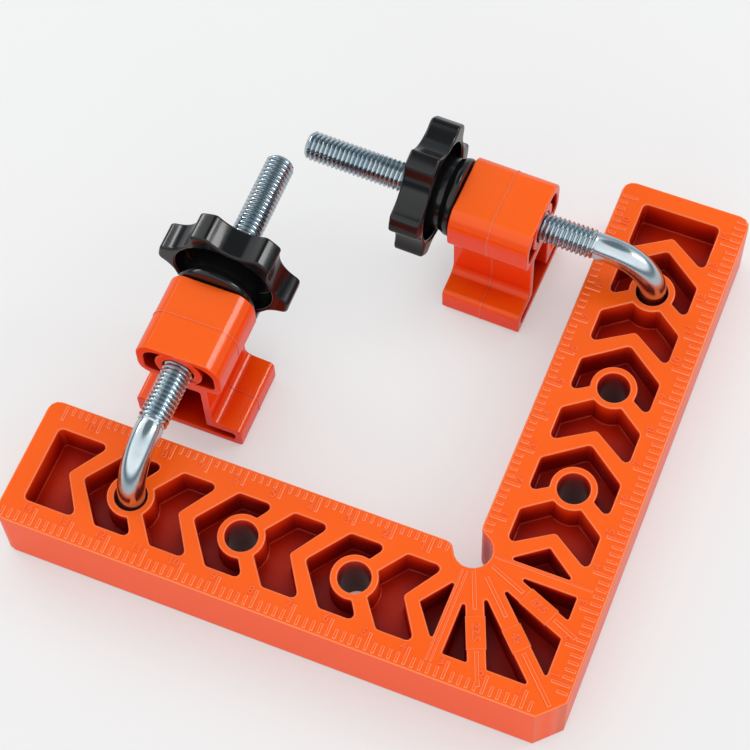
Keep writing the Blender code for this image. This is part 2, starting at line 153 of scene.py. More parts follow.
def setDown(piece, place=None):
    # Puts a piece where it belongs and keeps that place in its mesh.
    if place is not None:
        piece.matrix_world = place @ piece.matrix_world
    pickUp(piece)
    bpy.ops.object.transform_apply(location=True, rotation=True, scale=True)


def faceOut(piece):
    openMesh(piece, chosen="SELECT")
    bpy.ops.mesh.remove_doubles(threshold=hair)
    bpy.ops.mesh.normals_make_consistent(inside=False)
    closeMesh()


# Helpers for the finishes. A source is another node's output or a plain value.
def feed(tree, socket, source):
    if isinstance(source, bpy.types.NodeSocket):
        tree.links.new(source, socket)
    else:
        socket.default_value = source


def addNode(tree, kind, **values):
    # Each value goes to the input of its name, or else to the node's own setting.
    node = tree.nodes.new(kind)
    for name, value in values.items():
        if name in node.inputs:
            feed(tree, node.inputs[name], value)
        else:
            setattr(node, name, value)
    return node


def mathOn(tree, operation, *terms, clamp=False):
    node = addNode(tree, "ShaderNodeMath", operation=operation, use_clamp=clamp)
    for socket, term in zip(node.inputs, terms):
        feed(tree, socket, term)
    return node.outputs[0]


def dotOf(tree, first, second):
    node = addNode(tree, "ShaderNodeVectorMath", operation="DOT_PRODUCT")
    feed(tree, node.inputs[0], first)
    feed(tree, node.inputs[1], second)
    return node.outputs["Value"]


def rampOn(tree, source, low, high):
    # Rises from 0 at low to 1 at high.
    node = addNode(tree, "ShaderNodeMapRange", Value=source)
    feed(tree, node.inputs["From Min"], low)
    feed(tree, node.inputs["From Max"], high)
    return node.outputs["Result"]


def mixColours(tree, amount, first, second):
    node = addNode(tree, "ShaderNodeMix", data_type="RGBA")
    for index, source in ((0, amount), (6, first), (7, second)):
        feed(tree, node.inputs[index], source)
    return node.outputs[2]


def mixShaders(tree, amount, first, second, last):
    mixed = addNode(tree, "ShaderNodeMixShader", Fac=amount)
    feed(tree, mixed.inputs[1], first.outputs[0])
    feed(tree, mixed.inputs[2], second.outputs[0])
    feed(tree, last.inputs["Surface"], mixed.outputs[0])


def newGroup(name, inputs, outputs):
    # Gives the group, the sockets that it puts out and the values that it is given.
    group = bpy.data.node_groups.new(name, "ShaderNodeTree")
    for way, labels in (("INPUT", inputs), ("OUTPUT", outputs)):
        for label in labels:
            group.interface.new_socket(label, in_out=way, socket_type="NodeSocketFloat")
    given = group.nodes.new("NodeGroupInput")
    return group, group.nodes.new("NodeGroupOutput").inputs, given.outputs


def placeGroup(tree, group, **values):
    return addNode(tree, "ShaderNodeGroup", node_tree=group, **values).outputs


def startMaterial(name):
    material = bpy.data.materials.new(name)
    material.use_nodes = True
    return material, material.node_tree, material.node_tree.nodes["Principled BSDF"]


# What the finishes share
groupSet = {
    "fineDetail": 3,
    "driftDetail": 2,
    "edgeSamples": 4,
    "hollowShadeSamples": 8,
    # The upward share of the normal where each mask starts and where it is full.
    "sideSpan": (0.95, 0.1),
    "rimTopSpan": (0.98, 0.85),
    "rimFootSpan": (0.15, 0.4),
}


def buildGrainGroup(settings):
    # Fine moulded grain: a small bump height, and a soft drift of tone.
    group, made, given = newGroup("mouldedGrain", ("Size", "Drift"), ("Height", "Tone"))
    where = addNode(group, "ShaderNodeTexCoord").outputs["Object"]
    for size, detail, label in (("Size", settings["fineDetail"], "Height"),
                                ("Drift", settings["driftDetail"], "Tone")):
        noise = addNode(group, "ShaderNodeTexNoise", Vector=where, Scale=given[size], Detail=detail)
        feed(group, made[label], noise.outputs["Fac"])
    return group


def buildEdgeGroup(settings):
    # A mask of the edges: where the rounded normal leaves the true one. The orange uses it for a painted
    # highlight, the knob for a lighter colour at its edges.
    group, made, given = newGroup("edgeLight", ("Reach", "Gain"), ("Edge",))
    soft = addNode(group, "ShaderNodeBevel", samples=settings["edgeSamples"], Radius=given["Reach"])
    true = addNode(group, "ShaderNodeNewGeometry")
    match = dotOf(group, soft.outputs["Normal"], true.outputs["True Normal"])
    turned = mathOn(group, "SUBTRACT", 1, match)
    feed(group, made["Edge"], mathOn(group, "MULTIPLY", turned, given["Gain"], clamp=True))
    return group


def buildHollowGroup(settings):
    # How deep a point lies in a hollow, from the piece's own shape. It masks the painted shade in hollows and
    # grooves.
    group, made, given = newGroup("hollowDepth", ("Reach",), ("Depth",))
    around = addNode(group, "ShaderNodeAmbientOcclusion", samples=settings["hollowShadeSamples"],
                     only_local=True, Distance=given["Reach"])
    feed(group, made["Depth"], mathOn(group, "SUBTRACT", 1, around.outputs["AO"]))
    return group


def buildUprightGroup(settings):
    # Side is 0 on a face that looks up and 1 on a side wall, which gets a painted shade. Rim is 1 on the
    # round between them, which gets a painted highlight.
    group, made = newGroup("uprightSides", (), ("Side", "Rim"))[:2]
    normal = addNode(group, "ShaderNodeNewGeometry").outputs["Normal"]
    upward = addNode(group, "ShaderNodeSeparateXYZ", Vector=normal).outputs["Z"]
    feed(group, made["Side"], rampOn(group, upward, *settings["sideSpan"]))
    above = rampOn(group, upward, *settings["rimTopSpan"])
    below = rampOn(group, upward, *settings["rimFootSpan"])
    feed(group, made["Rim"], mathOn(group, "MULTIPLY", above, below))
    return group


grainGroup = buildGrainGroup(groupSet)
edgeGroup = buildEdgeGroup(groupSet)
hollowShadeGroup = buildHollowGroup(groupSet)
uprightGroup = buildUprightGroup(groupSet)


def placeGrain(tree, settings):
    return placeGroup(tree, grainGroup, Size=settings["grainSize"], Drift=settings["grainDrift"])


def roughen(tree, shader, tone, grain, settings):
    # The roughness follows the tone, and the grain makes the bump.
    rough = mathOn(tree, "MULTIPLY_ADD", tone, settings["roughSpread"], settings["roughness"])
    feed(tree, shader.inputs["Roughness"], rough)
    bump = addNode(tree, "ShaderNodeBump", Strength=settings["bump"], Distance=settings["bumpDepth"],
                   Height=grain["Height"])
    feed(tree, shader.inputs["Normal"], bump.outputs["Normal"])


# The orange plastic, with painted shade on side walls and in hollows, and painted highlights on edges and
# rims.
# The raised marks are too small for the hollows' painted shade, and the blocks have broad slopes. Roughness
# is the least value, and roughSpread what the tone adds to it.
orangeSet = {
    "colour": (0.94, 0.108, 0.004, 1),
    "paler": (0.97, 0.128, 0.006, 1),
    # Painted shade: side walls, and hollows, which turn redder and then dark.
    "side": (0.90, 0.080, 0.003, 1),
    "shade": (0.90, 0.034, 0.001, 1),
    "deepShade": (0.30, 0.003, 0.0005, 1),
    # The painted highlight on edges and rims.
    "edge": (1.0, 0.42, 0.20, 1),
    "edgeReach": 0.0004,
    "edgeGain": 1.0,
    "rimHighlightGain": 0.45,
    "hollowShadeReach": 0.012,
    "hollowShadeGain": 1.9,
    "deepShadePower": 2.2,
    "roughness": 0.18,
    "roughSpread": 0.12,
    "shine": 0.22,
    "refraction": 1.48,
    "grainSize": 1400,
    "grainDrift": 45,
    "bump": 0.12,
    "bumpDepth": 0.00006,
}
# The marks get a paler, narrower painted highlight and no painted hollow shade.
markSet = dict(orangeSet, edge=(1.0, 0.50, 0.30, 1), edgeReach=0.0002, rimHighlightGain=0.6, hollowShadeGain=0.0)
# The blocks' painted shade on side walls is deeper, and their painted edge highlight is stronger.
blockTones = dict(orangeSet, side=(0.88, 0.050, 0.001, 1), shade=(0.84, 0.020, 0.0005, 1),
                  edgeGain=2.2, rimHighlightGain=0.0, roughness=0.09, shine=0.4)


def orangePlastic(name, settings):
    material, tree, shader = startMaterial(name)
    grain = placeGrain(tree, settings)
    edge = placeGroup(tree, edgeGroup, Reach=settings["edgeReach"], Gain=settings["edgeGain"])
    hollow = placeGroup(tree, hollowShadeGroup, Reach=settings["hollowShadeReach"])
    upright = placeGroup(tree, uprightGroup)
    colour = mixColours(tree, grain["Tone"], settings["colour"], settings["paler"])
    # Side walls get a redder painted shade.
    colour = mixColours(tree, upright["Side"], colour, settings["side"])
    # Painted shade: a hollow turns redder, and then dark.
    depth = mathOn(tree, "MULTIPLY", hollow["Depth"], settings["hollowShadeGain"], clamp=True)
    colour = mixColours(tree, depth, colour, settings["shade"])
    deepestShade = mathOn(tree, "POWER", hollow["Depth"], settings["deepShadePower"], clamp=True)
    deepestShade = mathOn(tree, "MULTIPLY", deepestShade, settings["hollowShadeGain"], clamp=True)
    colour = mixColours(tree, deepestShade, colour, settings["deepShade"])
    # A painted highlight brightens the edges and rims outside the hollows.
    rimHighlight = mathOn(tree, "MULTIPLY", upright["Rim"], settings["rimHighlightGain"])
    paintedHighlight = mathOn(tree, "MAXIMUM", edge["Edge"], rimHighlight)
    outside = mathOn(tree, "SUBTRACT", 1, depth, clamp=True)
    paintedHighlight = mathOn(tree, "MULTIPLY", paintedHighlight, outside, clamp=True)
    feed(tree, shader.inputs["Base Color"], mixColours(tree, paintedHighlight, colour, settings["edge"]))
    shader.inputs["Specular IOR Level"].default_value = settings["shine"]
    shader.inputs["IOR"].default_value = settings["refraction"]
    roughen(tree, shader, grain["Tone"], grain, settings)
    return material


blackSet = {
    "colour": (0.006, 0.006, 0.0065, 1),
    # A lighter colour at the edges.
    "lighterEdge": (0.030, 0.029, 0.029, 1),
    "edgeReach": 0.0004,
    "edgeGain": 1.4,
    "roughness": 0.07,
    "roughSpread": 0.14,
    "refraction": 1.5,
    "grainSize": 700,
    "grainDrift": 90,
    "bump": 0.05,
    "bumpDepth": 0.00008,
}


def blackPlastic(name, settings):
    material, tree, shader = startMaterial(name)
    grain = placeGrain(tree, settings)
    edge = placeGroup(tree, edgeGroup, Reach=settings["edgeReach"], Gain=settings["edgeGain"])
    colour = mixColours(tree, edge["Edge"], settings["colour"], settings["lighterEdge"])
    feed(tree, shader.inputs["Base Color"], colour)
    shader.inputs["IOR"].default_value = settings["refraction"]
    roughen(tree, shader, grain["Tone"], grain, settings)
    return material


# The zinc plate of the rods, and the plain steel of the nuts, both with painted shade in their grooves and
# hollows.
zincSet = {
    "colour": (0.76, 0.80, 0.82, 1),
    "blue": (0.52, 0.64, 0.72, 1),
    "blueGain": 1.8,
    "blueShift": -0.4,
    "grooveShade": (0.07, 0.13, 0.16, 1),
    "grooveShadeReach": 0.0006,
    "grooveShadeGain": 1.5,
    "roughness": 0.14,
    "roughSpread": 0.12,
    "grainSize": 1100,
    "grainDrift": 160,
    "bump": 0.06,
    "bumpDepth": 0.00005,
}
steelSet = dict(zincSet, colour=(0.55, 0.56, 0.57, 1), blue=(0.36, 0.37, 0.39, 1),
                grooveShade=(0.08, 0.08, 0.09, 1), grooveShadeReach=0.0008, grooveShadeGain=1.2, roughness=0.26)


def platedSteel(name, settings):
    material, tree, shader = startMaterial(name)
    grain = placeGrain(tree, settings)
    tone = mathOn(tree, "MULTIPLY_ADD", grain["Tone"], settings["blueGain"], settings["blueShift"],
                  clamp=True)
    colour = mixColours(tree, tone, settings["colour"], settings["blue"])
    # Painted shade darkens the grooves and hollows.
    grooveShade = placeGroup(tree, hollowShadeGroup, Reach=settings["grooveShadeReach"])
    depth = mathOn(tree, "MULTIPLY", grooveShade["Depth"], settings["grooveShadeGain"], clamp=True)
    feed(tree, shader.inputs["Base Color"], mixColours(tree, depth, colour, settings["grooveShade"]))
    shader.inputs["Metallic"].default_value = 1
    roughen(tree, shader, tone, grain, settings)
    return material


squareFinish = orangePlastic("squareOrange", orangeSet)
markFinish = orangePlastic("markOrange", markSet)
blockFinish = orangePlastic("blockOrange", blockTones)
knobFinish = blackPlastic("knobBlack", blackSet)
hookFinish = platedSteel("hookZinc", zincSet)
nutFinish = platedSteel("nutSteel", steelSet)
print("the finishes are ready")


def dress(piece, finish, body, slot, *nodes):
    piece.data.materials.clear()
    piece.data.materials.append(finish)
    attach(piece, body)
    if nodes:
        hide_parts(*nodes)


# The square. A rounding is its width, its segments and the least angle of an edge that gets it.
squareSet = {
    "halfLeg": 0.075,
    "legWidth": 0.035,
    "height": 0.020,
    "mergeReach": 0.000004,
    "flatAngle": 1.0,
    "flatMargin": 0.0005,
    "rounding": (0.0004, 2, 60),
    "smoothAngle": 40,
    "flatUpward": 0.9999,
}


def makeSquare(settings):
    # A merged copy of the moulded body, with its edges rounded.
    pickUp(frame["nodes"]["square_body"])
    bpy.ops.object.duplicate()
    shell = joinUp("squareShell", [bpy.context.active_object])
    for key in list(shell.keys()):
        del shell[key]
    shell.parent = None
    openMesh(shell, chosen="SELECT")
    bpy.ops.mesh.remove_doubles(threshold=settings["mergeReach"])
    bpy.ops.mesh.dissolve_limited(angle_limit=math.radians(settings["flatAngle"]))
    closeMesh()
    # The top and the underside keep a narrow margin and are filled again, so that no sliver is left.
    for level in (settings["height"], 0):
        openMesh(shell, "FACE")
        selectWhere(shell, "faces", lambda face: abs(face.calc_center_median().z - level) < hair)
        bpy.ops.mesh.inset(thickness=settings["flatMargin"], depth=0)
        bpy.ops.mesh.delete(type="FACE")
        bpy.ops.mesh.select_mode(type="EDGE")
        bpy.ops.mesh.select_non_manifold(extend=False, use_wire=False, use_multi_face=False,
                                         use_non_contiguous=False, use_verts=False)
        bpy.ops.mesh.fill(use_beauty=True)
        closeMesh()
    faceOut(shell)
    roundEdges(shell, *settings["rounding"])
    smoothOff(shell, settings["smoothAngle"], even=False)
    openMesh(shell, "FACE")
    selectWhere(shell, "faces", lambda face: abs(face.normal.z) > settings["flatUpward"])
    bpy.ops.mesh.faces_shade_flat()
    closeMesh()
    evenOut(shell)
    return shell


# The raised marks, which are ridges and words that stand a little in the plastic
markShape = {
    "segments": 2,
    "topShare": 0.9,
    "smoothAngle": 35,
    "capShare": 0.7,
    "curveSteps": 2,
    "wordBevel": 0.00007,
    "wordOffset": -0.00004,
}


def makeRidge(place, size, rise, sunk, soft):
    # A low bar with its top edges rounded by a share of its rise.
    bpy.ops.mesh.primitive_cube_add(size=1, location=(*place, (rise - sunk) / 2))
    ridge = bpy.context.active_object
    ridge.scale = (*size, rise + sunk)
    setDown(ridge)
    openMesh(ridge, "EDGE")
    selectWhere(ridge, "edges", lambda edge: middleOf(edge).z > rise * markShape["topShare"])
    bpy.ops.mesh.bevel(offset=rise * soft, segments=markShape["segments"], affect="EDGES")
    closeMesh()
    return ridge


def raisedWord(word, height, rise, sunk, align="CENTER"):
    bpy.ops.object.text_add(location=(0, 0, 0))
    letters = bpy.context.active_object.data
    letters.body = word
    letters.align_x = align
    letters.align_y = "CENTER"
    letters.size = height / markShape["capShare"]
    letters.resolution_u = markShape["curveSteps"]
    letters.bevel_depth = markShape["wordBevel"]
    letters.offset = markShape["wordOffset"]
    letters.extrude = (rise + sunk) / 2 - markShape["wordBevel"]
    bpy.ops.object.convert(target="MESH")
    label = bpy.context.active_object
    label.location.z = (rise - sunk) / 2
    setDown(label)
    faceOut(label)
    return label


# The rulers. A place on a leg is along from the outer corner and across from the outer face.
rulerSet = {
    "pitch": 0.002,
    "tickWidth": 0.0009,
    "rise": 0.00028,
    "sunk": 0.0002,
    "soft": 0.8,
    # The rows of ticks: from and to across the leg, the first place along it, how many pitches
    # apart they are, how many there are, and their share of the rise.
    "rows": (
        (0.0007, 0.0035, 0.008, 1, 71, 1.0),
        (0.0007, 0.0056, 0.010, 5, 14, 1.05),
        (0.0322, 0.0343, 0.041, 1, 53, 1.0),
        (0.0300, 0.0343, 0.045, 5, 11, 1.05),
    ),
    # The rows of numbers: the last one, the place of zero along the leg, and their line across it.
    "numbers": ((14, 0.0, 0.00505), (10, 0.035, 0.0308)),
    "numberStep": 5,
    "digitHeight": 0.0021,
    "digitAside": 0.0009,
    # How far the words turn, and which of their ends stands at the tick.
    "reading": {"left": (0, "RIGHT"), "right": (90, "LEFT")},
}


def legPlaces(settings):
    # Turns a leg's along and across into the part's frame. Ruler words read from outside the square.
    half, height = settings["halfLeg"], settings["height"]
    left = Matrix(((-1, 0, 0, half), (0, 1, 0, -half), (0, 0, 1, height), (0, 0, 0, 1)))
    right = Matrix(((0, -1, 0, half), (1, 0, 0, -half), (0, 0, 1, height), (0, 0, 0, 1)))
    return {"left": left, "right": right}


def makeTicks(settings):
    # One ridge of each row is made, and repeated along the leg.
    rows = []
    for start, end, first, pitches, count, share in settings["rows"]:
        row = makeRidge((first, (start + end) / 2), (settings["tickWidth"], end - start),
                        settings["rise"] * share, settings["sunk"], settings["soft"])
        shapeWith(row, "ARRAY", count=count, use_relative_offset=False, use_constant_offset=True,
                  constant_offset_displace=(pitches * settings["pitch"], 0, 0))
        rows.append(row)
    return joinUp("ticks", rows)


def makeRulers(settings, body):
    marks = []
    step = settings["numberStep"] * settings["pitch"]
    for side, place in legPlaces(body).items():
        ticks = makeTicks(settings)
        setDown(ticks, place)
        faceOut(ticks)
        marks.append(ticks)
        turn, align = settings["reading"][side]
        for last, zero, line in settings["numbers"]:
            for number in range(1, last + 1):
                word = raisedWord(str(number), settings["digitHeight"], settings["rise"],
                                  settings["sunk"], align)
                spot = place @ Vector((zero + number * step + settings["digitAside"], line, 0))
                setDown(word, Matrix.Translation(spot) @ Matrix.Rotation(math.radians(turn), 4, "Z"))
                marks.append(word)
    rulers = joinUp("rulerMarks", marks)
    smoothOff(rulers, markShape["smoothAngle"])
    return rulers


# The angle lines and their labels, which run out from the inner corner
fanSet = {
    "lineWidth": 0.0011,
    "rise": 0.0003,
    "sunk": 0.0002,
    "soft": 0.7,
    # For each angle, distances from the inner corner: the line, its pad, and the line again.
    "stretches": {
        22.5: (0.0057, 0.0160, 0.0176, 0.0262, 0.0266, 0.0357),
        45: (0.0081, 0.0196, 0.0223, 0.0287, 0.0297, 0.0443),
        67.5: (0.0065, 0.0168, 0.0176, 0.0262, 0.0269, 0.0339),
    },
    "padWidth": 0.0049,
    "padRise": 0.0002,
    "padSunk": 0.0008,
    "digitHeight": 0.0019,
    "sideStart": 0.0058,
    "sideReach": 0.0311,
    "sideWidth": 0.0006,
    "sideRise": 0.00021,
    # The lines along the fan's two straight sides, by their angle and how far aside they lie.
    "sideLines": ((-90, -0.0004), (-90, 0.0008), (0, 0.0)),
}


def makeFan(settings, body):
    inner = body["halfLeg"] - body["legWidth"]
    corner = Matrix.Translation((inner, -inner, body["height"]))
    rise, sunk = settings["rise"], settings["sunk"]
    marks = []

    def layRidge(start, end, width, height, depth, place):
        ridge = makeRidge(((start + end) / 2, 0), (end - start, width), height, depth, settings["soft"])
        setDown(ridge, place)
        marks.append(ridge)

    for angle, (start, end, padStart, padEnd, nextStart, nextEnd) in settings["stretches"].items():
        # 0 degrees runs along the left side of the fan, down to the left leg's outer face.
        turn = corner @ Matrix.Rotation(math.radians(angle - 90), 4, "Z")
        layRidge(start, end, settings["lineWidth"], rise, sunk, turn)
        layRidge(nextStart, nextEnd, settings["lineWidth"], rise, sunk, turn)
        layRidge(padStart, padEnd, settings["padWidth"], settings["padRise"], settings["padSunk"], turn)
        word = raisedWord(f"{angle:g}", settings["digitHeight"], settings["padRise"] + rise, sunk)
        setDown(word, turn @ Matrix.Translation(((padStart + padEnd) / 2, 0, 0)))
        marks.append(word)
    for angle, aside in settings["sideLines"]:
        turn = corner @ Matrix.Rotation(math.radians(angle), 4, "Z")
        layRidge(settings["sideStart"], settings["sideReach"], settings["sideWidth"],
                 settings["sideRise"], sunk, turn @ Matrix.Translation((0, aside, 0)))
    fan = joinUp("angleMarks", marks)
    faceOut(fan)
    smoothOff(fan, markShape["smoothAngle"])
    return fan


squareShell = makeSquare(squareSet)
rulerMarks = makeRulers(rulerSet, squareSet)
angleMarks = makeFan(fanSet, squareSet)
dress(squareShell, squareFinish, "square", "square_plastic", "square_body")
dress(rulerMarks, markFinish, "square", "square_plastic")
dress(angleMarks, markFinish, "square", "square_plastic")
print("the square is made")


# The clamps. Each is modelled with its hook's leg on Z and its rod along Y, then set in place.
clampSet = {
    "rodHeight": 0.0322,
    "cutterSides": 64,
    "cornerSegments": 8,
    "cornerReach": 0.00001,
}


def clampPlace(side):
    foot = Vector(jointNamed[side + "_hook_swivel"]["pos_m"])
    along = Vector(jointNamed[side + "_jaw_slide"]["axis"])
    upward = Vector((0, 0, 1))
    across = along.cross(upward)
    return Matrix.Translation(foot) @ Matrix((across, along, upward)).transposed().to_4x4()


def makeBar(corners, front, depth):
    # A bar along Y from an outline on the XZ plane. Each corner is (x, z, radius).
    bpy.ops.mesh.primitive_circle_add(vertices=len(corners), radius=0.01, fill_type="NGON")
    bar = bpy.context.active_object
    spots = [Vector((corner[0], front, corner[1])) for corner in corners]
    for vertex, spot in zip(bar.data.vertices, spots):
        vertex.co = spot
    openMesh(bar)
    for index, spot in enumerate(spots):
        radius = corners[index][2]
        if radius == 0:
            continue
        before = (spots[index - 1] - spot).normalized()
        after = (spots[(index + 1) % len(spots)] - spot).normalized()
        half = before.angle(after) / 2
        selectWhere(bar, "verts", lambda vert: (vert.co - spot).length < clampSet["cornerReach"])
        bpy.ops.mesh.bevel(offset=radius / math.tan(half), segments=clampSet["cornerSegments"],
                           affect="VERTICES")
    closeMesh()
    openMesh(bar, chosen="SELECT")
    bpy.ops.mesh.extrude_region_move(TRANSFORM_OT_translate={"value": (0, depth, 0)})
    closeMesh()
    faceOut(bar)
    return bar


def rodAlong(radius, start, end):
    # A round bar on the rod's axis, to cut with.
    bpy.ops.mesh.primitive_cylinder_add(vertices=clampSet["cutterSides"], radius=radius, depth=end - start,
                                        location=(0, (start + end) / 2, clampSet["rodHeight"]),
                                        rotation=(math.pi / 2, 0, 0))
    rod = bpy.context.active_object
    setDown(rod)
    return rod


def bothSides(half):
    # A half outline from top to bottom on the right, closed with its mirror image.
    return half + [(-x, z, radius) for x, z, radius in reversed(half)]


# The hook bolts. Radii, and lengths along the rod from the leg's axis.
hookSet = {
    "shank": 0.00355,
    "thread": 0.00395,
    "root": 0.0034,
    "pitch": 0.00125,
    "foot": 0.0015,
    "footChamfer": 0.00054,
    "bend": 0.0125,
    "threadStart": {"left": 0.0140, "right": 0.0156},
    "neck": 0.0004,
    "reach": 0.0975,
    "endChamfer": 0.00045,
    "endShare": 0.86,
    "threadChamfer": 0.0009,
    "sides": 40,
    "bendSteps": 22,
    "turnSteps": 28,
    "crest": 0.00022,
    "ridgeFoot": 0.49,
    "ridgeSunk": 0.00012,
    "runIn": 1.6,
    "runInSunk": 0.0001,
    "smoothAngle": 50,
}


def drawOn(piece, move, scale=1):
    # Draws the selected ring on by a move, and scales it about its own middle.
    bpy.ops.mesh.extrude_region_move(TRANSFORM_OT_translate={"value": move})
    if scale == 1:
        return
    mesh = bmesh.from_edit_mesh(piece.data)
    ring = [vert for vert in mesh.verts if vert.select]
    middle = sum((vert.co for vert in ring), Vector()) / len(ring)
    for vert in ring:
        vert.co = middle + (vert.co - middle) * scale
    bmesh.update_edit_mesh(piece.data)


def makeShank(settings, side):
    # A solid rod drawn up from the foot, round the bend and along to its end.
    shank, foot, chamfer = settings["shank"], settings["foot"], settings["footChamfer"]
    bendStart = clampSet["rodHeight"] - settings["bend"]
    threadStart = settings["threadStart"][side]
    bpy.ops.mesh.primitive_circle_add(vertices=settings["sides"], radius=shank - chamfer,
                                      fill_type="NOTHING", location=(0, 0, foot))
    tube = bpy.context.active_object
    setDown(tube)
    openMesh(tube, "EDGE", "SELECT")
    drawOn(tube, (0, 0, chamfer), shank / (shank - chamfer))
    drawOn(tube, (0, 0, bendStart - foot - chamfer))
    bpy.ops.mesh.spin(steps=settings["bendSteps"], angle=math.pi / 2,
                      center=(0, settings["bend"], bendStart), axis=(1, 0, 0))
    drawOn(tube, (0, threadStart - settings["bend"], 0))
    drawOn(tube, (0, settings["neck"], 0), settings["root"] / shank)
    drawOn(tube, (0, settings["reach"] - threadStart - settings["neck"] - settings["endChamfer"], 0))
    drawOn(tube, (0, settings["endChamfer"], 0), settings["endShare"])
    bpy.ops.mesh.select_all(action="SELECT")
    bpy.ops.mesh.fill_holes(sides=0)
    closeMesh()
    faceOut(tube)
    return tube


def makeThread(settings, side):
    # One ridge of the screw thread, wound along the rod. It rises out of the root at its start.
    root, thread, pitch = settings["root"], settings["thread"], settings["pitch"]
    start = settings["threadStart"][side]
    length = settings["reach"] - start
    foot, crest, base = pitch * settings["ridgeFoot"], settings["crest"] / 2, root - settings["ridgeSunk"]
    bpy.ops.mesh.primitive_circle_add(vertices=4, radius=0.001, fill_type="NOTHING")
    ridge = bpy.context.active_object
    profile = ((base, -foot), (thread, -crest), (thread, crest), (base, foot))
    for vertex, (radius, along) in zip(ridge.data.vertices, profile):
        vertex.co = (radius, along, 0)
    shapeWith(ridge, "SCREW", axis="Y", screw_offset=-pitch, iterations=int(length / pitch),
              steps=settings["turnSteps"], render_steps=settings["turnSteps"])
    lowest = min(vertex.co.y for vertex in ridge.data.vertices)
    sunken = root - settings["runInSunk"]
    for vertex in ridge.data.vertices:
        along = vertex.co.y - lowest
        radius = math.hypot(vertex.co.x, vertex.co.z)
        limit = sunken + (thread - sunken) * min(1, along / (settings["runIn"] * pitch))
        limit = min(limit, thread - settings["threadChamfer"] + (length - along))
        if radius > limit:
            vertex.co.x *= limit / radius
            vertex.co.z *= limit / radius
        vertex.co.y = along + start
        vertex.co.z += clampSet["rodHeight"]
    openMesh(ridge, chosen="SELECT")
    bpy.ops.mesh.fill_holes(sides=6)
    closeMesh()
    faceOut(ridge)
    return ridge


# The sliding blocks: a box around the rod, and a stem under it with a foot
blockSet = {
    "front": 0.031,
    "back": 0.0532,
    "boxWidth": 0.0234,
    "boxHeight": 0.014,
    "flatWidth": 0.016,
    "flatCorner": 0.0005,
    "slope": math.radians(25),
    "shoulderCorner": 0.0062,
    "lowCorner": 0.0039,
    "hollowTop": 0.0046,
    "hollowCorner": 0.0007,
    "neck": 0.014,
    "neckFillet": 0.0024,
    "foot": 0.030,
    "footHeight": 0.0072,
    "footSlope": 0.0008,
    "footTop": 0.0016,
    "footLow": 0.0008,
    "wall": 0.002,
    "web": 0.002,
    "bridge": 0.002,
    "boss": 0.0065,
    "bore": 0.0043,
    "past": 0.001,
    "borePast": 0.01,
    "rounding": (0.0004, 3, 50),
    "smoothAngle": 40,
    "seamWidth": 0.00035,
    "seamRise": 0.00012,
    "seamBore": 0.0048,
}


def blockBody(settings, front, back, grow=0.0):
    # The box and the stem as one solid between two places along the rod.
    rod = clampSet["rodHeight"]
    box, top = settings["boxWidth"] / 2 + grow, settings["boxHeight"] / 2 + grow
    flat = settings["flatWidth"] / 2 + grow * math.tan(settings["slope"] / 2)
    slope = rod + top - (box - flat) * math.tan(settings["slope"])
    outline = bothSides([(flat, rod + top, settings["flatCorner"]), (box, slope, settings["shoulderCorner"]),
                         (box, rod - top, settings["lowCorner"] + grow)])
    body = makeBar(outline, front, back - front)
    neck, foot = settings["neck"] / 2 + grow, settings["foot"] / 2 + grow
    shoulder = settings["footHeight"] + grow
    stem = bothSides([(neck, rod - settings["boxHeight"] / 4, 0),
                      (neck, shoulder + settings["footSlope"], settings["neckFillet"]),
                      (foot, shoulder, settings["footTop"]), (foot, 0, settings["footLow"])])
    cutWith(body, makeBar(stem, front, back - front), "UNION")
    return body


def makeBlock(settings):
    rod, wall, past = clampSet["rodHeight"], settings["wall"], settings["past"]
    front, back = settings["front"], settings["back"]
    farFront, farBack = front - settings["borePast"], back + settings["borePast"]
    block = blockBody(settings, front, back)
    # Both ends are hollow, round the boss of the bore, with a web between them.
    box, top = settings["boxWidth"] / 2 - wall, settings["boxHeight"] / 2 - wall
    neck, foot = settings["neck"] / 2 - wall, settings["foot"] / 2 - wall
    corner = settings["hollowCorner"]
    shoulder = settings["footHeight"] - wall
    hollows = [
        bothSides([(box, rod + top, settings["hollowTop"]), (box, rod - top, settings["lowCorner"] - wall)]),
        bothSides([(neck, rod - settings["boxHeight"] / 2 - settings["bridge"], corner), (neck, shoulder, 0),
                   (foot, shoulder, corner), (foot, wall, corner)]),
    ]
    depth = (back - front - settings["web"]) / 2 + past
    for start in (front - past, back + past - depth):
        for hollow in hollows:
            tool = makeBar(hollow, start, depth)
            cutWith(tool, rodAlong(settings["boss"], farFront, farBack))
            cutWith(block, tool)
    cutWith(block, rodAlong(settings["bore"], farFront, farBack))
    roundEdges(block, *settings["rounding"])
    smoothOff(block, settings["smoothAngle"])
    # The line where the mould's two halves meet.
    middle, half = (front + back) / 2, settings["seamWidth"] / 2
    seam = blockBody(settings, middle - half, middle + half, settings["seamRise"])
    cutWith(seam, rodAlong(settings["seamBore"], front, back))
    smoothOff(seam, settings["smoothAngle"])
    return block, seam


